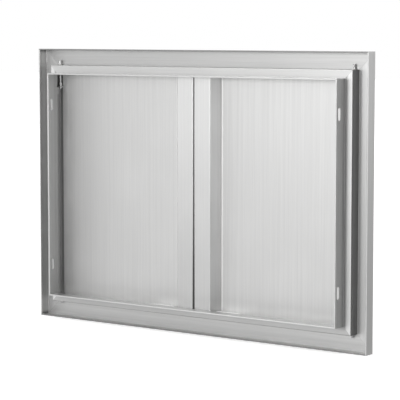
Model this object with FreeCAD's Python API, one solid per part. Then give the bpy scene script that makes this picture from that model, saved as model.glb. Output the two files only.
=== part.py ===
import FreeCAD, Part
import math
import os

# Double access door of a grill island, seen from the front: X right, Z up, the front faces -Y.
# The origin is the centre of the opening, in the plane of the back edge of the outer lip.
# Sizes are in millimetres.

# Frame: outside size and the folds of its section, from the outer edge inward
FRAME_WIDTH = 762.0
FRAME_HEIGHT = 533.4
FRAME_SHEET = 1.2
FRAME_BEND = 0.7
LIP_DEPTH = 24.0
FLANGE_WIDTH = 32.0
STOP_WIDTH = 15.0
SLEEVE_DEPTH = 28.5
HEM_LENGTH = 6.0
HEM_GAP = 0.2
HEM_ROUNDING = 0.8

# Fixing slots in both side sleeves
SLOT_LENGTH = 22.5
SLOT_WIDTH = 7.3
SLOT_SPACING = 315.0
SLOT_FROM_EDGE = 10.0

# Door leaves: folded pans with a stiffener along the free edge
DOOR_SHEET = 1.0
DOOR_BEND = 0.5
LEAF_DEPTH = 20.0
SIDE_GAP = 2.3
END_GAP = 3.0
CENTRE_GAP = 2.0
STIFFENER_FACE = 36.4
STIFFENER_RUN = 14.6
STIFFENER_LIP = 9.0
STIFFENER_FOOT = 8.0

# Pivot pins, their bushes, brackets and the clamped collar
PIN_INSET = 4.5
PIN_SETBACK = 4.9
PIN_DIAMETER = 4.4
PIN_CLEARANCE = 0.05
PIN_ABOVE_WALL = 9.6
PIN_BELOW_TAB = 3.0
PIN_CHAMFER = 0.5
BUSH_WALL = 0.9
BUSH_FLANGE_REACH = 1.3
BUSH_FLANGE_THICKNESS = 1.0
BUSH_STANDOUT = 0.8
TAB_DROP = 37.2
TAB_THICKNESS = 2.5
TAB_WIDTH = 11.0
TAB_DEPTH = 12.5
TAB_OFF_SKIN = 0.5
LEG_HEIGHT = 16.0
LEG_OFF_PIN = 0.8
COLLAR_DIAMETER = 6.4
COLLAR_HEIGHT = 6.5
SET_SCREW_DIAMETER = 2.0
SHOULDER_DIAMETER = 7.5
SHOULDER_RUNNING_GAP = 0.1
SPIGOT_LENGTH = 9.0
RIVET_HEAD_HEIGHT = 1.6
RIVET_HEAD_DIAMETER = 7.0

# Magnetic catch on the bottom return of each leaf and its strike plate on the stop
CATCH_LENGTH = 50.0
CATCH_DEPTH = 10.6
CATCH_HEIGHT = 10.0
CATCH_FROM_CENTRE = 75.5
CATCH_CHAMFER = 0.7
MAGNET_LENGTH = 35.0
MAGNET_DEPTH = 7.0
MAGNET_HEIGHT = 4.6
MAGNET_RECESS = 0.6
POLE_THICKNESS = 1.3
CATCH_SCREW_DIAMETER = 3.0
CATCH_SCREW_SPACING = 42.6
CATCH_SCREW_HEAD = 5.5
CATCH_SCREW_HEAD_HEIGHT = 1.4
CATCH_SCREW_GRIP = 7.5
STRIKE_THICKNESS = 1.0
STRIKE_HEIGHT = 9.0
STRIKE_LIFT = 3.0
CATCH_GAP = 0.2

# Bumpers between the stop and the free corners of the leaves
BUMPER_DIAMETER = 8.0
BUMPER_CHAMFER = 0.8
BUMPER_FROM_CENTRE = 26.0
BUMPER_GAP = 0.2

# Bar handles on the front
HANDLE_DIAMETER = 12.7
HANDLE_WALL = 1.2
HANDLE_LENGTH = 220.0
HANDLE_SPACING = 160.0
HANDLE_STANDOFF = 35.0
HANDLE_FROM_EDGE = 23.0
POST_DIAMETER = 9.0
POST_FOOT_DIAMETER = 14.0
POST_FOOT_THICKNESS = 2.0
POST_FOOT_CHAMFER = 0.6
CAP_THICKNESS = 3.0
CAP_CHAMFER = 1.2
CAP_PLUG = 7.0
CAP_CLEARANCE = 0.05

# Planes that several pieces share
FRONT = -LIP_DEPTH
STOP_FRONT = -FRAME_SHEET
SLEEVE_INSET = FLANGE_WIDTH + STOP_WIDTH
OPENING_HALF_WIDTH = FRAME_WIDTH / 2 - FLANGE_WIDTH - FRAME_SHEET
OPENING_HALF_HEIGHT = FRAME_HEIGHT / 2 - FLANGE_WIDTH - FRAME_SHEET
LEAF_INNER_X = CENTRE_GAP / 2
LEAF_OUTER_X = OPENING_HALF_WIDTH - SIDE_GAP
LEAF_HALF_HEIGHT = OPENING_HALF_HEIGHT - END_GAP
LEAF_BACK = FRONT + LEAF_DEPTH
SKIN_BACK = FRONT + DOOR_SHEET
RETURN_INSIDE_X = LEAF_OUTER_X - DOOR_SHEET
RETURN_INSIDE_Z = LEAF_HALF_HEIGHT - DOOR_SHEET
PIN_X = LEAF_OUTER_X - PIN_INSET
PIN_Y = FRONT + PIN_SETBACK
TAB_TOP = LEAF_HALF_HEIGHT - TAB_DROP
HANDLE_X = LEAF_INNER_X + HANDLE_FROM_EDGE
HANDLE_Y = FRONT - HANDLE_STANDOFF
STRIKE_FRONT = STOP_FRONT - STRIKE_THICKNESS
CATCH_BACK = STRIKE_FRONT - CATCH_GAP

# Folds of a section: inside and outside radius
FRAME_FOLD = (FRAME_BEND, FRAME_BEND + FRAME_SHEET)
HEM_FOLD = (0.0, HEM_ROUNDING)
DOOR_FOLD = (DOOR_BEND, DOOR_BEND + DOOR_SHEET)
SHEET_END = (0.0, 0.0)

UP = FreeCAD.Vector(0, 0, 1)
DOWN = FreeCAD.Vector(0, 0, -1)
FORWARD = FreeCAD.Vector(0, -1, 0)
ORIGIN = FreeCAD.Vector(0, 0, 0)


def corner_arc(before, corner, after, radius):
    """Start, middle and end of the arc that rounds one corner."""
    back = (before - corner).normalize()
    ahead = (after - corner).normalize()
    half_angle = back.getAngle(ahead) / 2
    reach = radius / math.tan(half_angle)
    bisector = (back + ahead).normalize()
    middle = corner + bisector * (radius / math.sin(half_angle) - radius)
    return corner + back * reach, middle, corner + ahead * reach


def rounded_face(points, radii):
    """Flat face inside a closed loop of corners, each rounded by its own radius."""
    edges = []
    spans = []
    for index, corner in enumerate(points):
        after = points[(index + 1) % len(points)]
        if radii[index] > 0:
            spans.append(corner_arc(points[index - 1], corner, after, radii[index]))
        else:
            spans.append((corner, None, corner))
    for index, (start, middle, end) in enumerate(spans):
        if middle is not None:
            edges.append(Part.Arc(start, middle, end).toShape())
        following = spans[(index + 1) % len(spans)][0]
        if end.distanceToPoint(following) > 1e-6:
            edges.append(Part.makeLine(end, following))
    return Part.Face(Part.Wire(edges))


def sheet_section(path, sheet, place):
    """Face of a folded sheet's section, from the line midway through the sheet.

    The path holds (across, depth, fold) entries, and place turns (across, depth) into a point.
    """
    middle = [FreeCAD.Vector(across, depth, 0) for across, depth, fold in path]
    runs = [(after - before).normalize() for before, after in zip(middle, middle[1:])]
    left_side = []
    right_side = []
    for index, (across, depth, fold) in enumerate(path):
        before = runs[max(index - 1, 0)]
        after = runs[min(index, len(runs) - 1)]
        normal = UP.cross(before)
        mitre = (normal + UP.cross(after)) * (sheet / 2 / (1 + before.dot(after)))
        inside_left = before.cross(after).z > 0
        inside, outside = fold
        left_side.append((middle[index] + mitre, inside if inside_left else outside))
        right_side.append((middle[index] - mitre, outside if inside_left else inside))
    outline = left_side + right_side[::-1]
    points = [place(point.x, point.y) for point, radius in outline]
    return rounded_face(points, [radius for point, radius in outline])


def lathe(profile, base, axis):
    """Solid turned about an axis from a closed profile of (radius, height) points."""
    points = [FreeCAD.Vector(radius, 0, height) for radius, height in profile]
    face = Part.Face(Part.makePolygon(points + points[:1]))
    solid = face.revolve(ORIGIN, UP, 360)
    solid.Placement = FreeCAD.Placement(base, FreeCAD.Rotation(UP, axis))
    return solid


def rod(diameter, start, height, base, axis):
    """Plain cylinder about an axis, from start to start + height along it."""
    return Part.makeCylinder(diameter / 2, height, base + axis * start, axis)


def block(low, high):
    """Rectangular block between two corners."""
    size = [far - near for near, far in zip(low, high)]
    return Part.makeBox(size[0], size[1], size[2], FreeCAD.Vector(*low))


def at_pin(height):
    """Point on the right leaf's pivot axis at a height."""
    return FreeCAD.Vector(PIN_X, PIN_Y, height)


def both_sides(shape):
    """A right-hand piece together with its mirror image."""
    return [shape, mirrored(shape)]


def mirrored(shape):
    """Mirror image of a piece across the middle plane between the leaves."""
    return shape.mirror(ORIGIN, FreeCAD.Vector(1, 0, 0))


def rail_path():
    """Middle line of the frame's section, from the hem of the lip to the hem of the sleeve."""
    half = FRAME_SHEET / 2
    hem = FRAME_SHEET + HEM_GAP
    wall = FLANGE_WIDTH + half
    sleeve = SLEEVE_INSET + half
    front = FRONT + half
    return [
        (half + hem, -HEM_LENGTH, SHEET_END),
        (half + hem, -half, HEM_FOLD),
        (half, -half, HEM_FOLD),
        (half, front, FRAME_FOLD),
        (wall, front, FRAME_FOLD),
        (wall, -half, FRAME_FOLD),
        (sleeve, -half, FRAME_FOLD),
        (sleeve, SLEEVE_DEPTH - half, HEM_FOLD),
        (sleeve + hem, SLEEVE_DEPTH - half, HEM_FOLD),
        (sleeve + hem, SLEEVE_DEPTH - HEM_LENGTH, SHEET_END),
    ]


def mitred_rail(length, reach):
    """Rail along X whose outer edge lies reach below the centre, mitred at both ends."""

    def place(inset, depth):
        return FreeCAD.Vector(-length / 2, depth, inset - reach)

    bar = sheet_section(rail_path(), FRAME_SHEET, place).extrude(FreeCAD.Vector(length, 0, 0))
    depth = SLEEVE_INSET + 2 * FRAME_SHEET + HEM_GAP + 1.0
    front = FRONT - 1.0
    corners = [(-length / 2, 0), (length / 2, 0), (length / 2 - depth, depth), (depth - length / 2, depth)]
    points = [FreeCAD.Vector(along, front, inset - reach) for along, inset in corners]
    mitre = Part.Face(Part.makePolygon(points + points[:1]))
    return bar.common(mitre.extrude(FreeCAD.Vector(0, SLEEVE_DEPTH - front + 1.0, 0)))


def rotated(shape, degrees):
    """Piece turned about the Y axis through the centre."""
    return shape.rotated(ORIGIN, FreeCAD.Vector(0, 1, 0), degrees)


def horizontal_rail(degrees):
    """Top or bottom rail with the holes of both pivot bushes."""
    rail = mitred_rail(FRAME_WIDTH, FRAME_HEIGHT / 2)
    bore = PIN_DIAMETER + 2 * PIN_CLEARANCE + 2 * BUSH_WALL
    drill = rod(bore, OPENING_HALF_HEIGHT - 1.0, FRAME_SHEET + 2.0, at_pin(0), DOWN)
    return rotated(rail.cut(both_sides(drill)), degrees)


def fixing_slot(height):
    """Upright slot through the right sleeve, its centre at a height."""
    reach = FRAME_WIDTH / 2 - SLEEVE_INSET
    depth = SLEEVE_DEPTH - SLOT_FROM_EDGE
    half_width = SLOT_WIDTH / 2
    half_run = (SLOT_LENGTH - SLOT_WIDTH) / 2
    tool = block((reach - 4.0, depth - half_width, height - half_run),
                 (reach + 2.0, depth + half_width, height + half_run))
    for end in (height - half_run, height + half_run):
        base = FreeCAD.Vector(reach - 4.0, depth, end)
        tool = tool.fuse(Part.makeCylinder(half_width, 6.0, base, FreeCAD.Vector(1, 0, 0)))
    return tool


def right_stile():
    """Right side rail with its two fixing slots."""
    stile = rotated(mitred_rail(FRAME_HEIGHT, FRAME_WIDTH / 2), -90)
    return stile.cut([fixing_slot(sign * SLOT_SPACING / 2) for sign in (-1, 1)])


def pivot_bush(direction):
    """Flanged bush in the wall of the top or bottom rail, its flange cut flat at the front."""
    bore = PIN_DIAMETER / 2 + PIN_CLEARANCE
    sleeve = bore + BUSH_WALL
    flange = sleeve + BUSH_FLANGE_REACH
    wall = OPENING_HALF_HEIGHT
    end = wall + FRAME_SHEET + BUSH_STANDOUT
    start = wall - BUSH_FLANGE_THICKNESS
    profile = [
        (bore, start), (flange, start), (flange, wall), (sleeve, wall), (sleeve, end), (bore, end),
    ]
    bush = lathe(profile, at_pin(0), direction)
    flat = FRONT + FRAME_BEND + FRAME_SHEET
    trim = block((PIN_X - flange, PIN_Y - flange, -end), (PIN_X + flange, flat, end))
    return bush.cut(trim)


def strike_plate():
    """Steel plate on the front of the bottom stop, facing the right leaf's catch."""
    foot = STRIKE_LIFT - OPENING_HALF_HEIGHT
    plate = block((CATCH_FROM_CENTRE - CATCH_LENGTH / 2, STRIKE_FRONT, foot),
                  (CATCH_FROM_CENTRE + CATCH_LENGTH / 2, STOP_FRONT, foot + STRIKE_HEIGHT))
    upright = [edge for edge in plate.Edges if abs(edge.Curve.Direction.y) > 0.9]
    return plate.makeFillet(1.5, upright)


def stop_bumper(height):
    """Round bumper on the front of the stop, facing the leaf's return."""
    thickness = STOP_FRONT - LEAF_BACK - BUMPER_GAP
    radius = BUMPER_DIAMETER / 2
    edge = BUMPER_CHAMFER
    profile = [
        (0, 0), (radius, 0), (radius, thickness - edge), (radius - edge, thickness), (0, thickness),
    ]
    base = FreeCAD.Vector(BUMPER_FROM_CENTRE, STOP_FRONT, height)
    return lathe(profile, base, FORWARD)


def stop_bumpers():
    """One bumper at the top and bottom free corner of each leaf."""
    height = OPENING_HALF_HEIGHT - END_GAP - BUMPER_DIAMETER / 2 + 1.0
    pair = [stop_bumper(sign * height) for sign in (-1, 1)]
    return pair + [mirrored(bumper) for bumper in pair]


def tray_block(low, high, radius):
    """Block whose front face has rounded edges, as a folded pan has."""
    solid = block(low, high)
    front_edges = [edge for edge in solid.Edges if edge.BoundBox.YMax < low[1] + 0.01]
    return solid.makeFillet(radius, front_edges)


def door_pan():
    """Front skin and four returns of the right leaf, with holes for pins and screws."""
    low = (LEAF_INNER_X, FRONT, -LEAF_HALF_HEIGHT)
    high = (LEAF_OUTER_X, LEAF_BACK, LEAF_HALF_HEIGHT)
    inner_low = [value + DOOR_SHEET for value in low]
    inner_high = (high[0] - DOOR_SHEET, high[1] + 5.0, high[2] - DOOR_SHEET)
    pan = tray_block(low, high, DOOR_BEND + DOOR_SHEET).cut(tray_block(inner_low, inner_high, DOOR_BEND))
    return pan.cut(pan_holes())


def pan_holes():
    """Drills for both pins and the catch's screws."""
    start = RETURN_INSIDE_Z - 1.0
    through = DOOR_SHEET + 2.0
    bore = PIN_DIAMETER + 2 * PIN_CLEARANCE
    drills = [rod(bore, start, through, at_pin(0), direction) for direction in (UP, DOWN)]
    for point in catch_screw_points():
        drills.append(rod(CATCH_SCREW_DIAMETER, -1.0, through, point, UP))
    return drills


def edge_stiffener():
    """Folded channel that closes the right leaf's free edge.

    Its lip is welded to the side return, and its foot turns in under the channel, welded to the skin.
    """
    half = DOOR_SHEET / 2
    side = LEAF_INNER_X + DOOR_SHEET + half
    flank = LEAF_INNER_X + STIFFENER_FACE
    foot = flank + STIFFENER_RUN
    face = LEAF_BACK - half
    skin = SKIN_BACK + half
    path = [
        (side, LEAF_BACK - STIFFENER_LIP, SHEET_END),
        (side, face, DOOR_FOLD),
        (flank, face, DOOR_FOLD),
        (foot, skin, DOOR_FOLD),
        (foot - STIFFENER_FOOT, skin, SHEET_END),
    ]

    def place(across, depth):
        return FreeCAD.Vector(across, depth, -RETURN_INSIDE_Z)

    return sheet_section(path, DOOR_SHEET, place).extrude(UP * (2 * RETURN_INSIDE_Z))


def tab_corners(bottom):
    """Low and high corner of a pivot tab whose underside is at a height."""
    front = SKIN_BACK + TAB_OFF_SKIN
    low = (RETURN_INSIDE_X - TAB_WIDTH, front, bottom)
    return low, (RETURN_INSIDE_X, front + TAB_DEPTH, bottom + TAB_THICKNESS)


def pin_drill():
    """Drill along the whole pivot axis for the pin's running fit."""
    bore = PIN_DIAMETER + 2 * PIN_CLEARANCE
    return rod(bore, -LEAF_HALF_HEIGHT, 2 * LEAF_HALF_HEIGHT, at_pin(0), UP)


def hinge_bracket():
    """Angle on the side return: its tab carries the top pin, its leg stands behind the pin."""
    low, high = tab_corners(TAB_TOP - TAB_THICKNESS)
    tab = block(low, high)
    outer_corners = [edge for edge in tab.Edges
                     if abs(edge.Curve.Direction.z) > 0.9 and edge.BoundBox.XMax < RETURN_INSIDE_X - 1.0]
    tab = tab.makeFillet(2.0, outer_corners)
    leg_front = PIN_Y + PIN_DIAMETER / 2 + LEG_OFF_PIN
    leg = block((RETURN_INSIDE_X - TAB_THICKNESS, leg_front, TAB_TOP - LEG_HEIGHT),
                (RETURN_INSIDE_X, high[1], TAB_TOP - TAB_THICKNESS))
    return tab.fuse(leg).removeSplitter().cut(pin_drill())


def pivot_doubler():
    """Plate that stiffens the bottom return round the bottom pin."""
    low, high = tab_corners(-RETURN_INSIDE_Z)
    plate = block(low, high)
    upright = [edge for edge in plate.Edges
               if abs(edge.Curve.Direction.z) > 0.9 and edge.BoundBox.XMax < RETURN_INSIDE_X - 1.0]
    return plate.makeFillet(2.0, upright).cut(pin_drill())


def top_pin():
    """Pin that runs from under the bracket's tab up through the top bush."""
    bottom = TAB_TOP - TAB_THICKNESS - PIN_BELOW_TAB
    top = OPENING_HALF_HEIGHT + FRAME_SHEET + PIN_ABOVE_WALL
    radius = PIN_DIAMETER / 2
    waist = radius - PIN_CHAMFER
    profile = [
        (0, bottom), (waist, bottom), (radius, bottom + PIN_CHAMFER),
        (radius, top - PIN_CHAMFER), (waist, top), (0, top),
    ]
    return lathe(profile, at_pin(0), UP)


def set_screw(radius, height):
    """Radial screw from the pin's surface to a radius, at a height, facing the leaf's middle."""
    start = at_pin(height) - FreeCAD.Vector(PIN_DIAMETER / 2 + PIN_CLEARANCE, 0, 0)
    length = radius - PIN_DIAMETER / 2 - PIN_CLEARANCE
    return Part.makeCylinder(SET_SCREW_DIAMETER / 2, length, start, FreeCAD.Vector(-1, 0, 0))


def collar_screw():
    """Set screw that clamps the collar, its end just under the collar's surface."""
    return set_screw(COLLAR_DIAMETER / 2 - 0.1, TAB_TOP + COLLAR_HEIGHT / 2)


def pin_collar():
    """Collar clamped on the top pin, resting on the bracket's tab."""
    bore = PIN_DIAMETER / 2 + PIN_CLEARANCE
    radius = COLLAR_DIAMETER / 2
    top = TAB_TOP + COLLAR_HEIGHT
    profile = [(bore, TAB_TOP), (radius, TAB_TOP), (radius, top), (bore, top)]
    threaded = set_screw(COLLAR_DIAMETER, TAB_TOP + COLLAR_HEIGHT / 2)
    return lathe(profile, at_pin(0), UP).cut(threaded)


def bottom_pin():
    """Riveted pivot: head on the doubler, shoulder over the bush's flange, spigot in the bush."""
    radius = PIN_DIAMETER / 2
    shoulder = SHOULDER_DIAMETER / 2
    head = RIVET_HEAD_DIAMETER / 2
    seat = RETURN_INSIDE_Z - TAB_THICKNESS
    under = LEAF_HALF_HEIGHT
    ledge = OPENING_HALF_HEIGHT - BUSH_FLANGE_THICKNESS - SHOULDER_RUNNING_GAP
    tip = ledge + SPIGOT_LENGTH
    profile = [
        (0, seat - RIVET_HEAD_HEIGHT), (head, seat - RIVET_HEAD_HEIGHT), (head, seat),
        (radius, seat), (radius, under), (shoulder, under), (shoulder, ledge),
        (radius, ledge), (radius, tip - PIN_CHAMFER), (radius - PIN_CHAMFER, tip), (0, tip),
    ]
    return lathe(profile, at_pin(0), DOWN)


def catch_screw_points():
    """Where the catch's two screws meet the inside of the bottom return."""
    depth = CATCH_BACK - CATCH_DEPTH / 2
    offsets = (-CATCH_SCREW_SPACING / 2, CATCH_SCREW_SPACING / 2)
    return [FreeCAD.Vector(CATCH_FROM_CENTRE + offset, depth, -LEAF_HALF_HEIGHT) for offset in offsets]


def centred_block(length, back, depth, low, height):
    """Block centred on the catch along X, from its back face forward and from low up."""
    return block((CATCH_FROM_CENTRE - length / 2, back - depth, low),
                 (CATCH_FROM_CENTRE + length / 2, back, low + height))


def pocket_height():
    """Height of the catch's pocket: the magnet between its two pole plates."""
    return MAGNET_HEIGHT + 2 * POLE_THICKNESS


def pocket_floor():
    """Height of the underside of the catch's pocket."""
    return -RETURN_INSIDE_Z + (CATCH_HEIGHT - pocket_height()) / 2


def catch_body():
    """Moulded housing of the catch, with a pocket open to the back and two screw holes."""
    shell = centred_block(CATCH_LENGTH, CATCH_BACK, CATCH_DEPTH, -RETURN_INSIDE_Z, CATCH_HEIGHT)
    floor = shell.BoundBox.ZMin
    edges = [edge for edge in shell.Edges if edge.BoundBox.ZMax > floor + 0.01]
    shell = shell.makeChamfer(CATCH_CHAMFER, edges)
    depth = MAGNET_DEPTH + MAGNET_RECESS
    pocket = centred_block(MAGNET_LENGTH, CATCH_BACK + 1.0, depth + 1.0, pocket_floor(), pocket_height())
    drills = [rod(CATCH_SCREW_DIAMETER, 0, CATCH_SCREW_GRIP + DOOR_SHEET, point, UP)
              for point in catch_screw_points()]
    return shell.cut([pocket] + drills)


def catch_magnet():
    """Bar magnet, set back a little between the pole plates."""
    low = pocket_floor() + POLE_THICKNESS
    return centred_block(MAGNET_LENGTH, CATCH_BACK - MAGNET_RECESS, MAGNET_DEPTH, low, MAGNET_HEIGHT)


def catch_poles():
    """Two steel pole plates, one under and one over the magnet."""
    depth = MAGNET_DEPTH + MAGNET_RECESS
    lows = (pocket_floor(), pocket_floor() + POLE_THICKNESS + MAGNET_HEIGHT)
    return [centred_block(MAGNET_LENGTH, CATCH_BACK, depth, low, POLE_THICKNESS) for low in lows]


def catch_screws():
    """Screws through the bottom return into the catch, heads in the gap under the leaf."""
    radius = CATCH_SCREW_DIAMETER / 2
    head = CATCH_SCREW_HEAD / 2
    tip = DOOR_SHEET + CATCH_SCREW_GRIP
    profile = [
        (0, -CATCH_SCREW_HEAD_HEIGHT), (head, -CATCH_SCREW_HEAD_HEIGHT), (head, 0),
        (radius, 0), (radius, tip), (0, tip),
    ]
    return [lathe(profile, point, UP) for point in catch_screw_points()]


def handle_bar():
    """Upright tube of the handle."""
    base = FreeCAD.Vector(HANDLE_X, HANDLE_Y, -HANDLE_LENGTH / 2)
    tube = rod(HANDLE_DIAMETER, 0, HANDLE_LENGTH, base, UP)
    return tube.cut(rod(HANDLE_DIAMETER - 2 * HANDLE_WALL, -1.0, HANDLE_LENGTH + 2.0, base, UP))


def handle_caps():
    """Plugs with a bevelled head in both ends of the tube."""
    radius = HANDLE_DIAMETER / 2
    plug = radius - HANDLE_WALL - CAP_CLEARANCE
    end = HANDLE_LENGTH / 2
    profile = [
        (0, end - CAP_PLUG), (plug, end - CAP_PLUG), (plug, end), (radius, end),
        (radius, end + CAP_THICKNESS - CAP_CHAMFER), (radius - CAP_CHAMFER, end + CAP_THICKNESS),
        (0, end + CAP_THICKNESS),
    ]
    base = FreeCAD.Vector(HANDLE_X, HANDLE_Y, 0)
    return [lathe(profile, base, direction) for direction in (UP, DOWN)]


def handle_posts():
    """Posts welded to the skin, with a round foot and an end hollowed to fit the tube."""
    radius = POST_DIAMETER / 2
    foot = POST_FOOT_DIAMETER / 2
    profile = [
        (0, 0), (foot, 0), (foot, POST_FOOT_THICKNESS - POST_FOOT_CHAMFER),
        (foot - POST_FOOT_CHAMFER, POST_FOOT_THICKNESS), (radius, POST_FOOT_THICKNESS),
        (radius, HANDLE_STANDOFF), (0, HANDLE_STANDOFF),
    ]
    base = FreeCAD.Vector(HANDLE_X, HANDLE_Y, -HANDLE_LENGTH / 2)
    tube = rod(HANDLE_DIAMETER, 0, HANDLE_LENGTH, base, UP)
    feet = [FreeCAD.Vector(HANDLE_X, FRONT, sign * HANDLE_SPACING / 2) for sign in (-1, 1)]
    return [lathe(profile, point, FORWARD).cut(tube) for point in feet]


def frame_pieces():
    """Every piece of the fixed frame, by name."""
    stile = right_stile()
    return {
        "frame_top_rail": horizontal_rail(180),
        "frame_bottom_rail": horizontal_rail(0),
        "frame_left_stile": mirrored(stile),
        "frame_right_stile": stile,
        "top_pivot_bushes": both_sides(pivot_bush(UP)),
        "bottom_pivot_bushes": both_sides(pivot_bush(DOWN)),
        "strike_plates": both_sides(strike_plate()),
        "stop_bumpers": stop_bumpers(),
    }


def leaf_pieces():
    """Every piece of the right leaf, by name."""
    return {
        "door_pan": door_pan(),
        "edge_stiffener": edge_stiffener(),
        "hinge_bracket": hinge_bracket(),
        "pivot_doubler": pivot_doubler(),
        "top_pin": top_pin(),
        "pin_collar": pin_collar(),
        "collar_screw": collar_screw(),
        "bottom_pin": bottom_pin(),
        "catch_body": catch_body(),
        "catch_magnet": catch_magnet(),
        "catch_poles": catch_poles(),
        "catch_screws": catch_screws(),
        "handle_bar": handle_bar(),
        "handle_caps": handle_caps(),
        "handle_posts": handle_posts(),
    }


def as_list(piece):
    """A piece as a list of its solids."""
    return piece if isinstance(piece, list) else [piece]


def write_piece(name, solids):
    """Write one piece, or one group of like pieces, to its own file."""
    shape = solids[0] if len(solids) == 1 else Part.makeCompound(solids)
    shape.exportStep(os.path.join("parts", name + ".step"))


def main():
    """Build the frame and both leaves and write every piece."""
    os.makedirs("parts", exist_ok=True)
    for name, piece in frame_pieces().items():
        write_piece(name, as_list(piece))
    for name, piece in leaf_pieces().items():
        solids = as_list(piece)
        write_piece("right_" + name, solids)
        write_piece("left_" + name, [mirrored(solid) for solid in solids])


main()
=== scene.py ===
"""Double stainless access door of a grill island, dressed in brushed steel and lit in a white studio.

The construction comes in as a fixed frame. This script gives every piece its finish, adds the small turned
and moulded forms, and sets the studio and the camera. Lengths are in metres: X right, Z up, front to -Y.
"""

import logging
import math
from dataclasses import dataclass, field
from enum import Enum
from typing import ClassVar

import bmesh
import bpy
from mathutils import Matrix, Vector


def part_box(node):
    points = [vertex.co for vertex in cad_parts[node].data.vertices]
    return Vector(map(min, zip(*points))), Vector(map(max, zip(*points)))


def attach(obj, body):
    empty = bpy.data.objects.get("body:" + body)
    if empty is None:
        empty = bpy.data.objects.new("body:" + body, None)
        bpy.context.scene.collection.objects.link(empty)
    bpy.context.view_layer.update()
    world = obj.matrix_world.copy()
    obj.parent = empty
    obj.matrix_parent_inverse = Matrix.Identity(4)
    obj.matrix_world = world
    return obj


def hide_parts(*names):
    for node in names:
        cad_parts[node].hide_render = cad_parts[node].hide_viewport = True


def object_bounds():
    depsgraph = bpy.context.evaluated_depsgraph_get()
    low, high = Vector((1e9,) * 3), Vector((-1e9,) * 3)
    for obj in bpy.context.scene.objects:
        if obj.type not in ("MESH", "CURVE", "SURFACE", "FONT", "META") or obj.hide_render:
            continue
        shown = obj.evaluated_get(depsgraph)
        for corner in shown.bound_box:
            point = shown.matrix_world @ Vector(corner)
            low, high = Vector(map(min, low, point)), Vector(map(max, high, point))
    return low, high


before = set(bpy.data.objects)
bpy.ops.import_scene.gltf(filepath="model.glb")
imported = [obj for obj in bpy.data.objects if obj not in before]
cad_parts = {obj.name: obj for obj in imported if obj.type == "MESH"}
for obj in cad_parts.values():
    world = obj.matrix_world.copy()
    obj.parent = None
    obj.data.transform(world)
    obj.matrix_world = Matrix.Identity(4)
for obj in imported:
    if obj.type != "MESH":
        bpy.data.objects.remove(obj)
CAD_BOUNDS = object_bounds()
LOG = logging.getLogger("access_door")
MM = 0.001
HALF_WIDTH = CAD_BOUNDS[1][0]
HALF_HEIGHT = CAD_BOUNDS[1][2]
SMUDGE_RANGE = (0.42, 0.75)
SPECKLE_RANGE = (0.3, 0.7)
EDGE_STEPS = 6
CROWN_STEPS = 5
SHARP_ANGLE = math.radians(35.0)
ORIGIN = (0.0, 0.0, 0.0)
UNIT = (1.0, 1.0, 1.0)
WHITE = (1.0, 1.0, 1.0, 1.0)
UP = Vector((0.0, 0.0, 1.0))
DOWN = -UP
FORWARD = Vector((0.0, -1.0, 0.0))
SQUARE = ((-1, -1), (1, -1), (1, 1), (-1, 1))
HEXAGON = 6
Point = tuple[float, float]
Band = tuple[float, float]
Colour = tuple[float, float, float]
Socket = bpy.types.NodeSocket
Sockets = bpy.types.bpy_prop_collection
Tree = bpy.types.NodeTree
Material = bpy.types.Material
Shape = bmesh.types.BMesh


class Side(Enum):
    """One of the two leaves, as seen from the front, with the sign of its X."""

    LEFT = -1
    RIGHT = 1

    @property
    def label(self) -> str:
        """Lower-case word that the leaf's pieces and body start with."""
        return self.name.lower()


class Grain(Enum):
    """Direction in which a sheet was brushed, as the axis the strokes run along."""

    ALONG_X = 0
    ALONG_Z = 2

    @property
    def axis(self) -> str:
        """Letter of the axis. A radial tangent round it lies square to the strokes."""
        return self.name[-1]

    def stretch(self, along: float, across: float) -> tuple[float, float, float]:
        """Texture scale on each axis.

        Args:
            along: Scale along the strokes, per metre.
            across: Scale square to the strokes, per metre.

        Returns:
            The scale on X, Y and Z.
        """
        scales = [across, across, across]
        scales[self.value] = along
        return scales[0], scales[1], scales[2]


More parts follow.
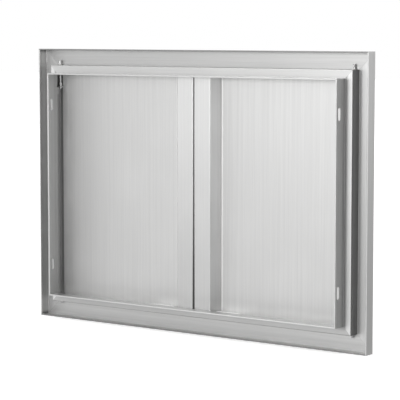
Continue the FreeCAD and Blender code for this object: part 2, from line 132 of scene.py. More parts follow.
class Graph:
    """Thin helper that adds and links shader nodes in one tree."""

    def __init__(self, tree: Tree) -> None:
        """Keep the tree and empty it.

        Args:
            tree: Node tree to fill.
        """
        self.tree = tree
        tree.nodes.clear()

    def add(self, kind: str, inputs: dict | None = None, **settings: object) -> bpy.types.Node:
        """Add a node.

        Args:
            kind: Node type, such as ShaderNodeMath.
            inputs: Socket name or index to a value, or to an output socket to link.
            settings: Attributes of the node.

        Returns:
            The new node.
        """
        node = self.tree.nodes.new(kind)
        for name, value in settings.items():
            setattr(node, name, value)
        for key, value in (inputs or {}).items():
            if isinstance(value, Socket):
                self.tree.links.new(value, node.inputs[key])
            else:
                node.inputs[key].default_value = value
        return node

    def group(self, tree: Tree, inputs: dict) -> Sockets:
        """Add a shared group and return its outputs."""
        return self.add("ShaderNodeGroup", inputs, node_tree=tree).outputs

    def math(self, operation: str, *values: object) -> Socket:
        """Add a Math node of numbers or sockets, in the node's order, and return its output."""
        return self.add("ShaderNodeMath", dict(enumerate(values)), operation=operation).outputs[0]

    def product(self, first: object, *others: object) -> Socket:
        """Multiply numbers or sockets.

        Args:
            first: The first factor.
            others: The other factors, at least one.

        Returns:
            The product's socket.
        """
        for other in others:
            first = self.math("MULTIPLY", first, other)
        return first

    def size(self, value: Socket) -> Socket:
        """Value without its sign."""
        return self.math("ABSOLUTE", value)

    def above(self, value: Socket, limit: float) -> Socket:
        """Mask, 0 or 1, of the points whose value is over a limit."""
        return self.math("GREATER_THAN", value, limit)

    def below(self, value: Socket, limit: object) -> Socket:
        """Mask, 0 or 1, of the points whose value is under a number or socket."""
        return self.math("LESS_THAN", value, limit)

    def between(self, value: Socket, band: Band) -> Socket:
        """Mask of the points whose value lies within a band.

        Args:
            value: Socket of the value.
            band: Lower and upper bound.

        Returns:
            The mask's socket, 0 or 1.
        """
        low, high = band
        off_middle = self.size(self.math("SUBTRACT", value, (low + high) / 2))
        return self.below(off_middle, (high - low) / 2)

    def split(self, vector: Socket) -> Sockets:
        """Sockets of a vector's X, Y and Z."""
        return self.add("ShaderNodeSeparateXYZ", {0: vector}).outputs

    def scaled(self, vector: Socket, scale: Socket) -> Socket:
        """Vector or colour times a number."""
        return self.add("ShaderNodeVectorMath", {0: vector, "Scale": scale}, operation="SCALE").outputs[0]

    def stretched(self, vector: Socket, scales: Socket) -> Socket:
        """Vector times another, axis by axis."""
        return self.add("ShaderNodeVectorMath", {0: vector, 1: scales}, operation="MULTIPLY").outputs[0]

    def ramp(self, value: Socket, low: float, high: float,
             to_low: float = 0.0, to_high: float = 1.0) -> Socket:
        """Map a value from one range to another with a smooth step.

        Args:
            value: Socket to map.
            low: Value that gives to_low.
            high: Value that gives to_high.
            to_low: Result at low.
            to_high: Result at high.

        Returns:
            The mapped value's socket.
        """
        inputs = {0: value, 1: low, 2: high, 3: to_low, 4: to_high}
        return self.add("ShaderNodeMapRange", inputs, interpolation_type="SMOOTHSTEP").outputs[0]

    def blend(self, factor: Socket, first: object, second: object) -> Socket:
        """Blend two numbers.

        Args:
            factor: Socket of the share of the second.
            first: Number or socket where the factor is 0.
            second: Number or socket where the factor is 1.

        Returns:
            The blended value's socket.
        """
        return self.add("ShaderNodeMix", {0: factor, 2: first, 3: second}, data_type="FLOAT").outputs[0]

    def noise(self, vector: Socket, detail: float, roughness: float, scale: float = 1.0) -> Socket:
        """Noise between 0 and 1 at a point.

        Args:
            vector: Socket of the point.
            detail: Octaves.
            roughness: Share of the finer octaves.
            scale: Cells per unit.

        Returns:
            The noise factor's socket.
        """
        inputs = {"Vector": vector, "Scale": scale, "Detail": detail, "Roughness": roughness}
        return self.add("ShaderNodeTexNoise", inputs).outputs[0]


def new_group(name: str, inputs: dict, outputs: list[str]) -> tuple[Tree, Graph, Sockets]:
    """Make a shader node group with named sockets.

    Args:
        name: Name of the group.
        inputs: Socket name to its default, a number or a triple.
        outputs: Names of the outputs, all numbers.

    Returns:
        The group, a graph that fills it and the sockets of its inputs.
    """
    tree = bpy.data.node_groups.new(name, "ShaderNodeTree")
    graph = Graph(tree)
    for label, default in inputs.items():
        kind = "NodeSocketVector" if isinstance(default, tuple) else "NodeSocketFloat"
        socket = tree.interface.new_socket(name=label, in_out="INPUT", socket_type=kind)
        socket.default_value = default
    for label in outputs:
        tree.interface.new_socket(name=label, in_out="OUTPUT", socket_type="NodeSocketFloat")
    return tree, graph, graph.add("NodeGroupInput").outputs


def brushed_grain_group() -> Tree:
    """Group with the fine strokes and the broader streaks that a brushing belt leaves.

    Returns:
        A group with Strokes and Streaks between 0 and 1, and their joint Height.
    """
    inputs = {"Position": ORIGIN, "Fine Stretch": UNIT, "Broad Stretch": UNIT, "Streak Share": 0.4}
    tree, graph, source = new_group("Brushed grain", inputs, ["Strokes", "Streaks", "Height"])
    position = source["Position"]
    strokes = graph.noise(graph.stretched(position, source["Fine Stretch"]), detail=3.0, roughness=0.65)
    streaks = graph.noise(graph.stretched(position, source["Broad Stretch"]), detail=4.0, roughness=0.6)
    height = graph.math("ADD", strokes, graph.product(streaks, source["Streak Share"]))
    graph.add("NodeGroupOutput", {"Strokes": strokes, "Streaks": streaks, "Height": height})
    return tree


def handling_group() -> Tree:
    """Group with the faint marks that hands and wiping leave on bare steel.

    Returns:
        A group with Smudge and Wave between 0 and 1.
    """
    inputs = {"Position": ORIGIN, "Smudge Scale": 9.0, "Wave Scale": 3.0, "Cloud Lift": 0.5}
    tree, graph, source = new_group("Handling marks", inputs, ["Smudge", "Wave"])
    position = source["Position"]
    cloud = graph.noise(position, detail=3.0, roughness=0.6)
    smear = graph.noise(graph.scaled(position, source["Smudge Scale"]), detail=4.0, roughness=0.7)
    patchy = graph.product(smear, graph.math("ADD", cloud, source["Cloud Lift"]))
    wave = graph.noise(graph.scaled(position, source["Wave Scale"]), detail=1.0, roughness=0.4)
    graph.add("NodeGroupOutput", {"Smudge": graph.ramp(patchy, *SMUDGE_RANGE), "Wave": wave})
    return tree


def corner_insets(graph: Graph, point: Sockets) -> tuple[Socket, Socket]:
    """Distances from a point to the frame's nearer side edge and to its nearer top or bottom edge.

    Args:
        graph: Graph to add to.
        point: Sockets of the point's X, Y and Z.

    Returns:
        The sockets of both distances.
    """
    return (graph.math("SUBTRACT", HALF_WIDTH, graph.size(point[0])),
            graph.math("SUBTRACT", HALF_HEIGHT, graph.size(point[2])))


def mitre_seam_group() -> Tree:
    """Group with the welded mitres of the frame's corners.

    Returns:
        A group with Line, the seam itself, and Dressing, the band dressed smooth beside it.
    """
    inputs = {"Position": ORIGIN, "Line Width": 0.5 * MM, "Dressing Width": 4.0 * MM}
    tree, graph, source = new_group("Mitre seam", inputs, ["Line", "Dressing"])
    inset_x, inset_z = corner_insets(graph, graph.split(source["Position"]))
    gap = graph.size(graph.math("SUBTRACT", inset_x, inset_z))
    masks = {}
    for label in ("Line", "Dressing"):
        fade = graph.math("SUBTRACT", 1.0, graph.math("DIVIDE", gap, source[f"{label} Width"]))
        masks[label] = graph.math("MAXIMUM", fade, 0.0)
    graph.add("NodeGroupOutput", masks)
    return tree


@dataclass(frozen=True)
class ZoneTones:
    """Painted shade and highlights: how bright each zone of a piece is, as a share of its steel's colour,
    one field for each zone.

    The shares are fitted to the shading in the photograph. They are not a property of the steel.
    """

    effect: ClassVar[str]

    def levels(self) -> dict[str, float]:
        """Every zone's socket in the group, with its value."""
        return {f"{zone.title()} Tone": value for zone, value in vars(self).items()}

    def inputs(self, place: Sockets) -> dict[str, object]:
        """Inputs of the group at a point, from the sockets of the material's coordinates."""
        return {"Position": place["Object"]} | self.levels()


@dataclass(frozen=True)
class FoldTones(ZoneTones):
    """Painted shade and highlights on the walls, ledges and edges of a folded section."""

    effect: ClassVar[str] = "fold"

    # Each field scales the steel's colour in one zone: below 1 it paints shade, above 1 a highlight. Nook is
    # the painted shadow on the lip's inner wall near the corners, crease the painted shade on the stop
    # beside the sleeve, crest a painted dark line on the lip's back edge, and foot makes the piece darker
    # towards the bottom.
    sleeve: float = 1.0
    rebate: float = 1.0
    lip: float = 1.0
    nook: float = 0.4
    rim: float = 1.0
    ledge: float = 1.0
    stop: float = 1.0
    crease: float = 0.55
    heel: float = 1.0
    crest: float = 0.5
    edge: float = 1.15
    hem: float = 1.25
    foot: float = 1.0

    def inputs(self, place: Sockets) -> dict[str, object]:
        """Inputs of the group, which needs the normal too."""
        return super().inputs(place) | {"Normal": place["Normal"]}


@dataclass(frozen=True)
class LeafTones(ZoneTones):
    """Painted shade and highlights of a leaf: the slit between the leaves, the stiffener's flank, a painted
    glint where the stiffener's foot meets the skin, and the pan's zones.
    """

    effect: ClassVar[str] = "leaf"

    # Each field scales the steel's colour in one zone: below 1 it paints shade, above 1 a highlight; front
    # is the even tone of the leaf's front face.
    slit: float = 0.30
    flank: float = 1.0
    weld: float = 1.3
    margin: float = 1.25
    corner: float = 0.48
    foot: float = 1.0
    sill: float = 1.4
    front: float = 0.88


@dataclass(frozen=True)
class FoldPlan:
    """Where the painted shade and highlights of the frame's section change.

    Insets run inward from the outer edges, and depths along Y. A fade holds the factors at both ends of a
    zone. A facing holds the parts of the normal at which a face starts to count and counts in full.
    """

    wall_facing: Band = (0.55, 0.9)
    stop_facing: Band = (0.3, 0.6)
    slot_facing: float = 0.5
    rim_inset: float = 0.6 * MM
    rim_fade: Band = (0.82, 1.05)
    lip_inset: float = 16.0 * MM
    nook_inset: Band = (3.0 * MM, 9.0 * MM)
    rebate_inset: float = 40.0 * MM
    rebate_depth: Band = (-24.0 * MM, -2.0 * MM)
    rebate_fade: Band = (0.78, 1.1)
    sleeve_depth: Band = (0.0, 24.0 * MM)
    sleeve_fade: Band = (0.84, 1.04)
    stop_depth: Band = (-1.5 * MM, 1.0 * MM)
    stop_inset: float = 30.0 * MM
    crease_inset: Band = (39.0 * MM, 46.5 * MM)
    heel_inset: Band = (14.0 * MM, 3.0 * MM)
    heel_depth: float = -22.0 * MM
    crest_inset: float = 2.8 * MM
    edge_inset: Band = (31.4 * MM, 32.8 * MM)
    hem_depth: float = 27.2 * MM
    slot_depth: Band = (2.0 * MM, 26.0 * MM)
    slot_inset: float = 60.0 * MM


@dataclass(frozen=True)
class LeafPlan:
    """Where the painted shade and highlights of a leaf change.

    Reaches run from the middle of the door, depths along Y and heights along Z. The slit's reaches are those
    at its foot and its top, and its shares those of the left and the right leaf.
    """

    slit_reach: Band = (2.6 * MM, 1.3 * MM)
    slit_shares: Band = (0.75, 1.2)
    flank_reach: Band = (37.4 * MM, 38.6 * MM)
    flank_end: float = 53.5 * MM
    # The next two place the painted highlight over the crease where the stiffener's foot meets the skin.
    weld_reach: Band = (49.5 * MM, 53.8 * MM)
    weld_depth: float = -21.3 * MM
    margin_reach: Band = (316.0 * MM, 335.0 * MM)
    corner_reach: float = 338.0 * MM
    sill_height: Band = (-196.0 * MM, -232.0 * MM)
    skin_depth: float = -23.4 * MM


def fold_tone_group() -> Tree:
    """Group that paints shade and highlights onto the walls, ledges and edges of the frame's section, as
    fitted to the photograph.

    Returns:
        A group with Tone, the factor that paints shade and highlights into the steel's colour.
    """
    plan = FoldPlan()
    inputs = {"Position": ORIGIN, "Normal": (0.0, 0.0, 1.0)} | FoldTones().levels()
    tree, graph, source = new_group("Fold tone", inputs, ["Tone"])
    normal = graph.split(source["Normal"])
    point = graph.split(source["Position"])
    inset_x, inset_z = corner_insets(graph, point)
    inset = graph.math("MINIMUM", inset_x, inset_z)
    rise = graph.ramp(point[2], -HALF_HEIGHT, HALF_HEIGHT)

    # Painted shade on the walls of the section (sleeve, rebate, lip and rim), faded along the depth and the
    # height.
    sleeve_fade = graph.ramp(point[1], *plan.sleeve_depth, *plan.sleeve_fade)
    sleeve = graph.product(source["Sleeve Tone"], sleeve_fade)
    rebate_fade = graph.ramp(point[1], *plan.rebate_depth, *plan.rebate_fade)
    rebate = graph.product(source["Rebate Tone"], rebate_fade)
    # Painted shadow on the lip's inner wall near the top and bottom corners.
    nook = graph.blend(graph.ramp(inset_z, *plan.nook_inset), source["Nook Tone"], 1.0)
    lip = graph.product(source["Lip Tone"], nook)
    rim = graph.product(source["Rim Tone"], graph.blend(rise, *plan.rim_fade))
    side = graph.blend(graph.below(inset_x, plan.rebate_inset), sleeve, rebate)
    side = graph.blend(graph.below(inset_x, plan.lip_inset), side, lip)
    side = graph.blend(graph.below(inset_x, plan.rim_inset), side, rim)
    tone = graph.blend(graph.ramp(graph.size(normal[0]), *plan.wall_facing), 1.0, side)

    ledge = graph.ramp(normal[2], *plan.wall_facing)
    at_stop = graph.between(point[1], plan.stop_depth)
    stop = graph.product(at_stop, graph.ramp(normal[1], *plan.stop_facing),
                         graph.above(inset, plan.stop_inset))
    # Painted shade on the stop beside the sleeve (crease) and a painted dark line on the lip's back edge
    # (crest). Edge paints the stop's outer fold lighter on the top rail and darker on the bottom rail and
    # the stiles.
    crease = graph.product(stop, graph.ramp(inset, *plan.crease_inset))
    heel = graph.product(graph.ramp(inset, *plan.heel_inset), graph.below(point[1], plan.heel_depth))
    crest = graph.product(at_stop, graph.below(inset, plan.crest_inset))
    edge = graph.product(at_stop, graph.between(inset, plan.edge_inset))
    # The sleeve's back edge and the rims of its slots take the hem factor: a painted highlight on the rails,
    # a little painted shade on the stiles.
    slot = graph.product(graph.between(point[1], plan.slot_depth), graph.above(inset_z, plan.slot_inset),
                         graph.below(graph.size(normal[0]), plan.slot_facing))
    hem = graph.math("MAXIMUM", graph.above(point[1], plan.hem_depth), slot)
    masks = {"Ledge": ledge, "Stop": stop, "Crease": crease, "Heel": heel, "Crest": crest, "Edge": edge,
             "Hem": hem}
    for label, mask in masks.items():
        tone = graph.blend(mask, tone, source[f"{label} Tone"])
    # Painted shade: darker towards the bottom by the foot factor.
    tone = graph.product(tone, graph.blend(rise, source["Foot Tone"], 1.0))
    graph.add("NodeGroupOutput", {"Tone": tone})
    return tree


def leaf_tone_group() -> Tree:
    """Group that paints shade and highlights onto a leaf: the slit at its free edge, its stiffener and its
    corners; its front takes one even tone.

    Returns:
        A group with Tone, the factor that paints shade and highlights into the steel's colour.
    """
    plan = LeafPlan()
    tree, graph, source = new_group("Leaf tone", {"Position": ORIGIN} | LeafTones().levels(), ["Tone"])
    point = graph.split(source["Position"])
    reach = graph.size(point[0])
    rise = graph.ramp(point[2], -HALF_HEIGHT, HALF_HEIGHT)
    # Painted shade in the slit between the leaves: wider at the foot and on the right leaf, darkest at the
    # foot and fading out towards the top.
    share = graph.blend(graph.above(point[0], 0.0), *plan.slit_shares)
    slit = graph.below(reach, graph.product(graph.blend(rise, *plan.slit_reach), share))
    tone = graph.blend(slit, 1.0, graph.blend(rise, source["Slit Tone"], 1.0))

    # Painted shade on the stiffener's flank, a painted highlight where the stiffener's foot meets the skin,
    # a painted highlight near the outer return (margin) and the painted shadow of the stop along the return
    # (corner).
    flank = graph.product(graph.ramp(reach, *plan.flank_reach), graph.below(reach, plan.flank_end))
    weld = graph.product(graph.below(point[1], plan.weld_depth), graph.between(reach, plan.weld_reach))
    margin = graph.ramp(reach, *plan.margin_reach)
    corner = graph.above(reach, plan.corner_reach)
    for label, mask in {"Flank": flank, "Weld": weld, "Margin": margin, "Corner": corner}.items():
        tone = graph.blend(mask, tone, source[f"{label} Tone"])
    # Painted highlight at the pan's foot (sill), and darker towards the bottom by the foot factor.
    sill = graph.ramp(point[2], *plan.sill_height)
    tone = graph.product(tone, graph.blend(rise, source["Foot Tone"], 1.0),
                         graph.blend(sill, 1.0, source["Sill Tone"]))
    behind_skin = graph.above(point[1], plan.skin_depth)
    graph.add("NodeGroupOutput", {"Tone": graph.blend(behind_skin, source["Front Tone"], tone)})
    return tree


def speckle_group() -> Tree:
    """Group with the fine mottle of cast, moulded and plated surfaces.

    Returns:
        A group with Speckle between 0 and 1 and its Height.
    """
    inputs = {"Position": ORIGIN, "Grain Scale": 900.0}
    tree, graph, source = new_group("Surface speckle", inputs, ["Speckle", "Height"])
    position = graph.scaled(source["Position"], source["Grain Scale"])
    speckle = graph.noise(position, detail=3.0, roughness=0.6)
    graph.add("NodeGroupOutput", {"Speckle": speckle, "Height": graph.ramp(speckle, *SPECKLE_RANGE)})
    return tree


@dataclass(frozen=True)
class EffectGroups:
    """The shared shader node groups, built once."""

    grain: Tree = field(default_factory=brushed_grain_group)
    handling: Tree = field(default_factory=handling_group)
    seam: Tree = field(default_factory=mitre_seam_group)
    fold: Tree = field(default_factory=fold_tone_group)
    leaf: Tree = field(default_factory=leaf_tone_group)
    speckle: Tree = field(default_factory=speckle_group)


def begin_material(name: str) -> tuple[Material, Graph, Sockets]:
    """Make an empty node material with the coordinates of the object's space.

    Args:
        name: Name of the material.

    Returns:
        The material, its graph and the sockets of the coordinates.
    """
    material = bpy.data.materials.new(name)
    material.use_nodes = True
    graph = Graph(material.node_tree)
    return material, graph, graph.add("ShaderNodeTexCoord").outputs


def close_material(graph: Graph, height: Socket, inputs: dict) -> None:
    """End a material with a Principled shader on a bumped surface.

    Args:
        graph: The material's graph.
        height: Socket of the surface's height in metres.
        inputs: Values and sockets of the shader.
    """
    bump = graph.add("ShaderNodeBump", {"Height": height, "Distance": 1.0, "Strength": 1.0})
    shader = graph.add("ShaderNodeBsdfPrincipled", inputs | {"Normal": bump.outputs[0]})
    graph.add("ShaderNodeOutputMaterial", {"Surface": shader.outputs[0]})


def tinted(graph: Graph, dark: Colour, light: Colour, factor: Socket) -> Socket:
    """Blend two colours by a mask.

    Args:
        graph: Graph to add to.
        dark: Colour where the mask is 0.
        light: Colour where the mask is 1.
        factor: The mask's socket.

    Returns:
        The blended colour's socket.
    """
    inputs = {"Factor": factor, 6: (*dark, 1.0), 7: (*light, 1.0)}
    return graph.add("ShaderNodeMix", inputs, data_type="RGBA").outputs[2]


@dataclass(frozen=True)
class BrushedSteel:
    """Stainless sheet or tube with brushed strokes, faint streaks and handling marks."""

    name: str
    grain: Grain
    light: Colour
    dark: Colour
    roughness: float = 0.44
    roughness_spread: float = 0.10
    roughness_range: Band = (0.3, 0.7)
    colour_range: Band = (0.25, 0.75)
    anisotropy: float = 0.25
    fine_scales: Band = (14.0, 2600.0)
    broad_scales: Band = (2.2, 170.0)
    stroke_share: float = 0.45
    stroke_depth: float = 0.006 * MM
    wave_depth: float = 0.1 * MM
    smudge_roughness: float = 0.05
    seamed: bool = False
    seam_colour: Colour = (0.54, 0.54, 0.538)
    seam_roughness: float = 0.10
    seam_depth: float = 0.03 * MM
    # Zone factors that paint shade and highlights into the colour, or None for the plain colour.
    tones: ZoneTones | None = None

    def build(self, groups: EffectGroups) -> Material:
        """Make the material.

        Args:
            groups: Shared effect groups.

        Returns:
            The finished material.
        """
        material, graph, place = begin_material(self.name)
        position = place["Object"]
        grain = graph.group(groups.grain, {"Position": position,
                                           "Fine Stretch": self.grain.stretch(*self.fine_scales),
                                           "Broad Stretch": self.grain.stretch(*self.broad_scales)})
        handling = graph.group(groups.handling, {"Position": position})
        tone = graph.math("ADD", graph.product(grain["Strokes"], self.stroke_share),
                          graph.product(grain["Streaks"], 1.0 - self.stroke_share))
        spread = self.roughness_spread / 2
        rough = graph.ramp(tone, *self.roughness_range, self.roughness + spread, self.roughness - spread)
        rough = graph.math("MULTIPLY_ADD", handling["Smudge"], self.smudge_roughness, rough)
        fine = graph.product(grain["Height"], self.stroke_depth)
        height = graph.math("MULTIPLY_ADD", handling["Wave"], self.wave_depth, fine)
        colour = tinted(graph, self.dark, self.light, graph.ramp(tone, *self.colour_range))
        # Painted shade and highlights by zone, multiplied into the colour.
        if self.tones is not None:
            zones = graph.group(getattr(groups, self.tones.effect), self.tones.inputs(place))
            colour = graph.scaled(colour, zones["Tone"])
        if self.seamed:
            seam = graph.group(groups.seam, {"Position": position})
            inputs = {"Factor": seam["Line"], 6: colour, 7: (*self.seam_colour, 1.0)}
            colour = graph.add("ShaderNodeMix", inputs, data_type="RGBA").outputs[2]
            rough = graph.math("MULTIPLY_ADD", seam["Dressing"], self.seam_roughness, rough)
            height = graph.math("MULTIPLY_ADD", seam["Line"], -self.seam_depth, height)
        tangent = graph.add("ShaderNodeTangent", direction_type="RADIAL", axis=self.grain.axis)
        close_material(graph, height, {"Base Color": colour, "Roughness": rough, "Metallic": 1.0,
                                       "Anisotropic": self.anisotropy, "Tangent": tangent.outputs[0]})
        return material


@dataclass(frozen=True)
class SpeckledFinish:
    """Moulded, plated, sintered or rubber surface with a fine mottle."""

    name: str
    light: Colour
    dark: Colour
    roughness: float
    roughness_spread: float = 0.1
    metallic: float = 0.0
    coat: float = 0.0
    grain_scale: float = 900.0
    smudge_scale: float = 60.0
    depth: float = 0.01 * MM

    def build(self, groups: EffectGroups) -> Material:
        """Make the material.

        Args:
            groups: Shared effect groups.

        Returns:
            The finished material.
        """
        material, graph, place = begin_material(self.name)
        position = place["Object"]
        speckle = graph.group(groups.speckle, {"Position": position, "Grain Scale": self.grain_scale})
        handling = graph.group(groups.handling, {"Position": position, "Smudge Scale": self.smudge_scale})
        colour = tinted(graph, self.dark, self.light, graph.ramp(speckle["Speckle"], *SPECKLE_RANGE))
        roughest = self.roughness + self.roughness_spread
        rough = graph.ramp(handling["Smudge"], 0.0, 1.0, self.roughness, roughest)
        close_material(graph, graph.product(speckle["Height"], self.depth),
                       {"Base Color": colour, "Roughness": rough, "Metallic": self.metallic,
                        "Coat Weight": self.coat})
        return material


@dataclass(frozen=True)
class Finishes:
    """Every finish of the door, each built once."""

    # The rails and the stiles are one steel: their different colours, darkest on the bottom rail, and their
    # zone factors are painted light and shade.
    frame_top: BrushedSteel = BrushedSteel(
        "steel_brushed_top", Grain.ALONG_X, light=(0.75, 0.75, 0.745), dark=(0.63, 0.63, 0.627),
        anisotropy=0.1, seamed=True, tones=FoldTones(stop=1.06, crease=1.0, edge=1.25, hem=1.15))
    frame_foot: BrushedSteel = BrushedSteel(
        "steel_brushed_foot", Grain.ALONG_X, light=(0.72, 0.72, 0.715), dark=(0.61, 0.61, 0.607),
        anisotropy=0.1, seamed=True,
        tones=FoldTones(ledge=0.9, stop=0.85, crease=0.6, heel=1.22, edge=0.55, hem=1.15))
    frame_upright: BrushedSteel = BrushedSteel(
        "steel_brushed_upright", Grain.ALONG_Z, light=(0.785, 0.785, 0.78), dark=(0.65, 0.65, 0.647),
        seamed=True, tones=FoldTones(sleeve=0.63, rebate=0.39, lip=0.70, rim=0.76, stop=1.13, crease=0.44,
                                     crest=0.87, edge=0.39, hem=0.92, foot=0.95))
    # The skin and the stiffener carry the leaf's painted shade and highlights; the stiffener's lighter
    # colour, darker flank and darker foot are painted light and shade.
    door_skin: BrushedSteel = BrushedSteel(
        "door_skin_brushed", Grain.ALONG_Z, light=(0.74, 0.74, 0.735), dark=(0.645, 0.645, 0.642),
        anisotropy=0.4, tones=LeafTones())
    stiffener: BrushedSteel = BrushedSteel(
        "stiffener_brushed", Grain.ALONG_Z, light=(0.83, 0.83, 0.825), dark=(0.75, 0.75, 0.747),
        anisotropy=0.3, wave_depth=0.04 * MM, tones=LeafTones(flank=0.63, foot=0.80))
    # Dark colour that paints the shade round the hinge bracket and the pivot doubler.
    bracket: BrushedSteel = BrushedSteel(
        "bracket_mill", Grain.ALONG_X, light=(0.42, 0.42, 0.42), dark=(0.30, 0.30, 0.30), roughness=0.38)
    pin: BrushedSteel = BrushedSteel(
        "pin_turned", Grain.ALONG_X, light=(0.54, 0.54, 0.54), dark=(0.42, 0.42, 0.42), roughness=0.24,
        wave_depth=0.0)
    handle: BrushedSteel = BrushedSteel(
        "handle_satin", Grain.ALONG_Z, light=(0.66, 0.66, 0.655), dark=(0.58, 0.58, 0.575), roughness=0.24,
        wave_depth=0.0)
    plated: SpeckledFinish = SpeckledFinish(
        "zinc_plate", light=(0.58, 0.58, 0.59), dark=(0.44, 0.44, 0.46), roughness=0.42, metallic=1.0)
    ferrite: SpeckledFinish = SpeckledFinish(
        "magnet_ferrite", light=(0.05, 0.05, 0.055), dark=(0.02, 0.02, 0.022), roughness=0.6)
    plastic: SpeckledFinish = SpeckledFinish(
        "catch_plastic", light=(0.95, 0.95, 0.94), dark=(0.90, 0.90, 0.89), roughness=0.35, coat=0.1)
    nylon: SpeckledFinish = SpeckledFinish(
        "bush_nylon", light=(0.80, 0.79, 0.74), dark=(0.72, 0.71, 0.66), roughness=0.45)
    rubber: SpeckledFinish = SpeckledFinish(
        "bumper_rubber", light=(0.03, 0.03, 0.03), dark=(0.015, 0.015, 0.015), roughness=0.65)


def dress(node: str, material: Material) -> None:
    """Give a node of the construction its finish.

    Args:
        node: Name of the node.
        material: The finish.
    """
    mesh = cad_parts[node].data
    mesh.materials.clear()
    mesh.materials.append(material)
    LOG.info("dressed %s in %s", node, material.name)


def domed_head(radius: float, seat: float, top: float, rounding: float, crown: float) -> list[Point]:
    """Half section of a round head: a straight wall, a rounded edge and a crowned face.

    Args:
        radius: Radius of the wall.
        seat: Height at which the wall starts.
        top: Height of the middle of the face.
        rounding: Radius of the edge.
        crown: How far the face rises from its edge to its middle.

    Returns:
        Points of radius and height, from the seat to the middle of the face.
    """
    points = [(radius, seat)]
    for step in range(EDGE_STEPS + 1):
        angle = math.pi / 2 * step / EDGE_STEPS
        points.append((radius - rounding + rounding * math.cos(angle),
                       top - crown - rounding + rounding * math.sin(angle)))
    flat = radius - rounding
    for step in range(1, CROWN_STEPS + 1):
        reach = flat * (1.0 - step / CROWN_STEPS)
        points.append((reach, top - crown * (reach / flat) ** 2))
    return points


@dataclass(frozen=True)
class Turned:
    """Round solid given by its half section, from the axis at its foot to the axis at its top."""

    section: list[Point]
    sides: int = 48

    def add(self, mesh: Shape, base: Vector, axis: Vector) -> None:
        """Add the solid to a mesh.

        Args:
            mesh: The mesh it joins.
            base: Where height zero of the section lies.
            axis: Direction in which the heights run.
        """
        place = Matrix.Translation(base) @ axis.to_track_quat("Z", "X").to_matrix().to_4x4()
        rings = []
        for radius, height in self.section:
            count = self.sides if radius > 0.0 else 1
            turns = [math.tau * index / self.sides for index in range(count)]
            spots = [Vector((radius * math.cos(turn), radius * math.sin(turn), height)) for turn in turns]
            rings.append([mesh.verts.new(place @ spot) for spot in spots])
        for low, high in zip(rings, rings[1:]):
            for index in range(self.sides):
                after = index + 1
                corners = (low[index % len(low)], low[after % len(low)], high[after % len(high)],
                           high[index % len(high)])
                mesh.faces.new(dict.fromkeys(corners))


@dataclass(frozen=True)
class CrossRecess:
    """Recess for a cross-head driver: two crossed slots that taper towards their floor."""

    length: float = 3.0 * MM
    width: float = 0.75 * MM
    depth: float = 0.9 * MM
    taper: float = 0.55

    def cutters(self, top: Vector, inward: Vector) -> list[Shape]:
        """Shapes that cut the recess.

        Args:
            top: Middle of the screw's face.
            inward: Direction from the face into the head.

        Returns:
            One mesh for each slot.
        """
        made = []
        for size_x, size_y in ((self.length, self.width), (self.width, self.length)):
            mesh = bmesh.new()
            rings = []
            for drop, scale in ((-self.depth, 1.0), (self.depth, self.taper)):
                half_x, half_y = size_x / 2 * scale, size_y / 2 * scale
                middle = top + inward * drop
                rings.append([mesh.verts.new(middle + Vector((across * half_x, along * half_y, 0.0)))
                              for across, along in SQUARE])
            for ring in rings:
                mesh.faces.new(ring)
            for index in range(len(SQUARE)):
                after = (index + 1) % len(SQUARE)
                mesh.faces.new((rings[0][index], rings[0][after], rings[1][after], rings[1][index]))
            bmesh.ops.recalc_face_normals(mesh, faces=mesh.faces)
            made.append(mesh)
        return made


def add_object(name: str, mesh: Shape) -> bpy.types.Object:
    """Put a mesh in the scene.

    Args:
        name: Name of the new object.
        mesh: Its mesh, which is used up.

    Returns:
        The object.
    """
    data = bpy.data.meshes.new(name)
    mesh.to_mesh(data)
    mesh.free()
    made = bpy.data.objects.new(name, data)
    bpy.context.scene.collection.objects.link(made)
    return made


def cut_away(piece: bpy.types.Object, shape: Shape) -> None:
    """Cut a shape out of a piece's mesh.

    Args:
        piece: The piece.
        shape: The shape, which is used up.
    """
    cutter = add_object("cutter", shape)
    recess = piece.modifiers.new("recess", "BOOLEAN")
    recess.operation = "DIFFERENCE"
    recess.solver = "EXACT"
    recess.object = cutter
    bpy.context.view_layer.update()
    plain = piece.data
    piece.data = bpy.data.meshes.new_from_object(piece.evaluated_get(bpy.context.evaluated_depsgraph_get()))
    piece.modifiers.clear()
    bpy.data.meshes.remove(plain)
    bpy.data.objects.remove(cutter)


@dataclass(frozen=True)
class Fitting:
    """A small piece that stands for a plain node of the construction."""

    name: str
    node: str
    body: str
    slot: str

    def make(self, shape: Shape, material: Material,
             recesses: list[Shape] | None = None) -> None:
        """Build the piece, dress it and hang it on its body.

        Args:
            shape: Its mesh.
            material: Its finish.
            recesses: Shapes that are cut out of it.
        """
        piece = add_object(self.name, shape)
        for recess in recesses or []:
            cut_away(piece, recess)
        piece.data.shade_smooth()
        piece.data.set_sharp_from_angle(angle=SHARP_ANGLE)
        piece.data.materials.append(material)
        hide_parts(self.node)
        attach(piece, self.body)
        LOG.info("built %s for %s", self.name, self.node)


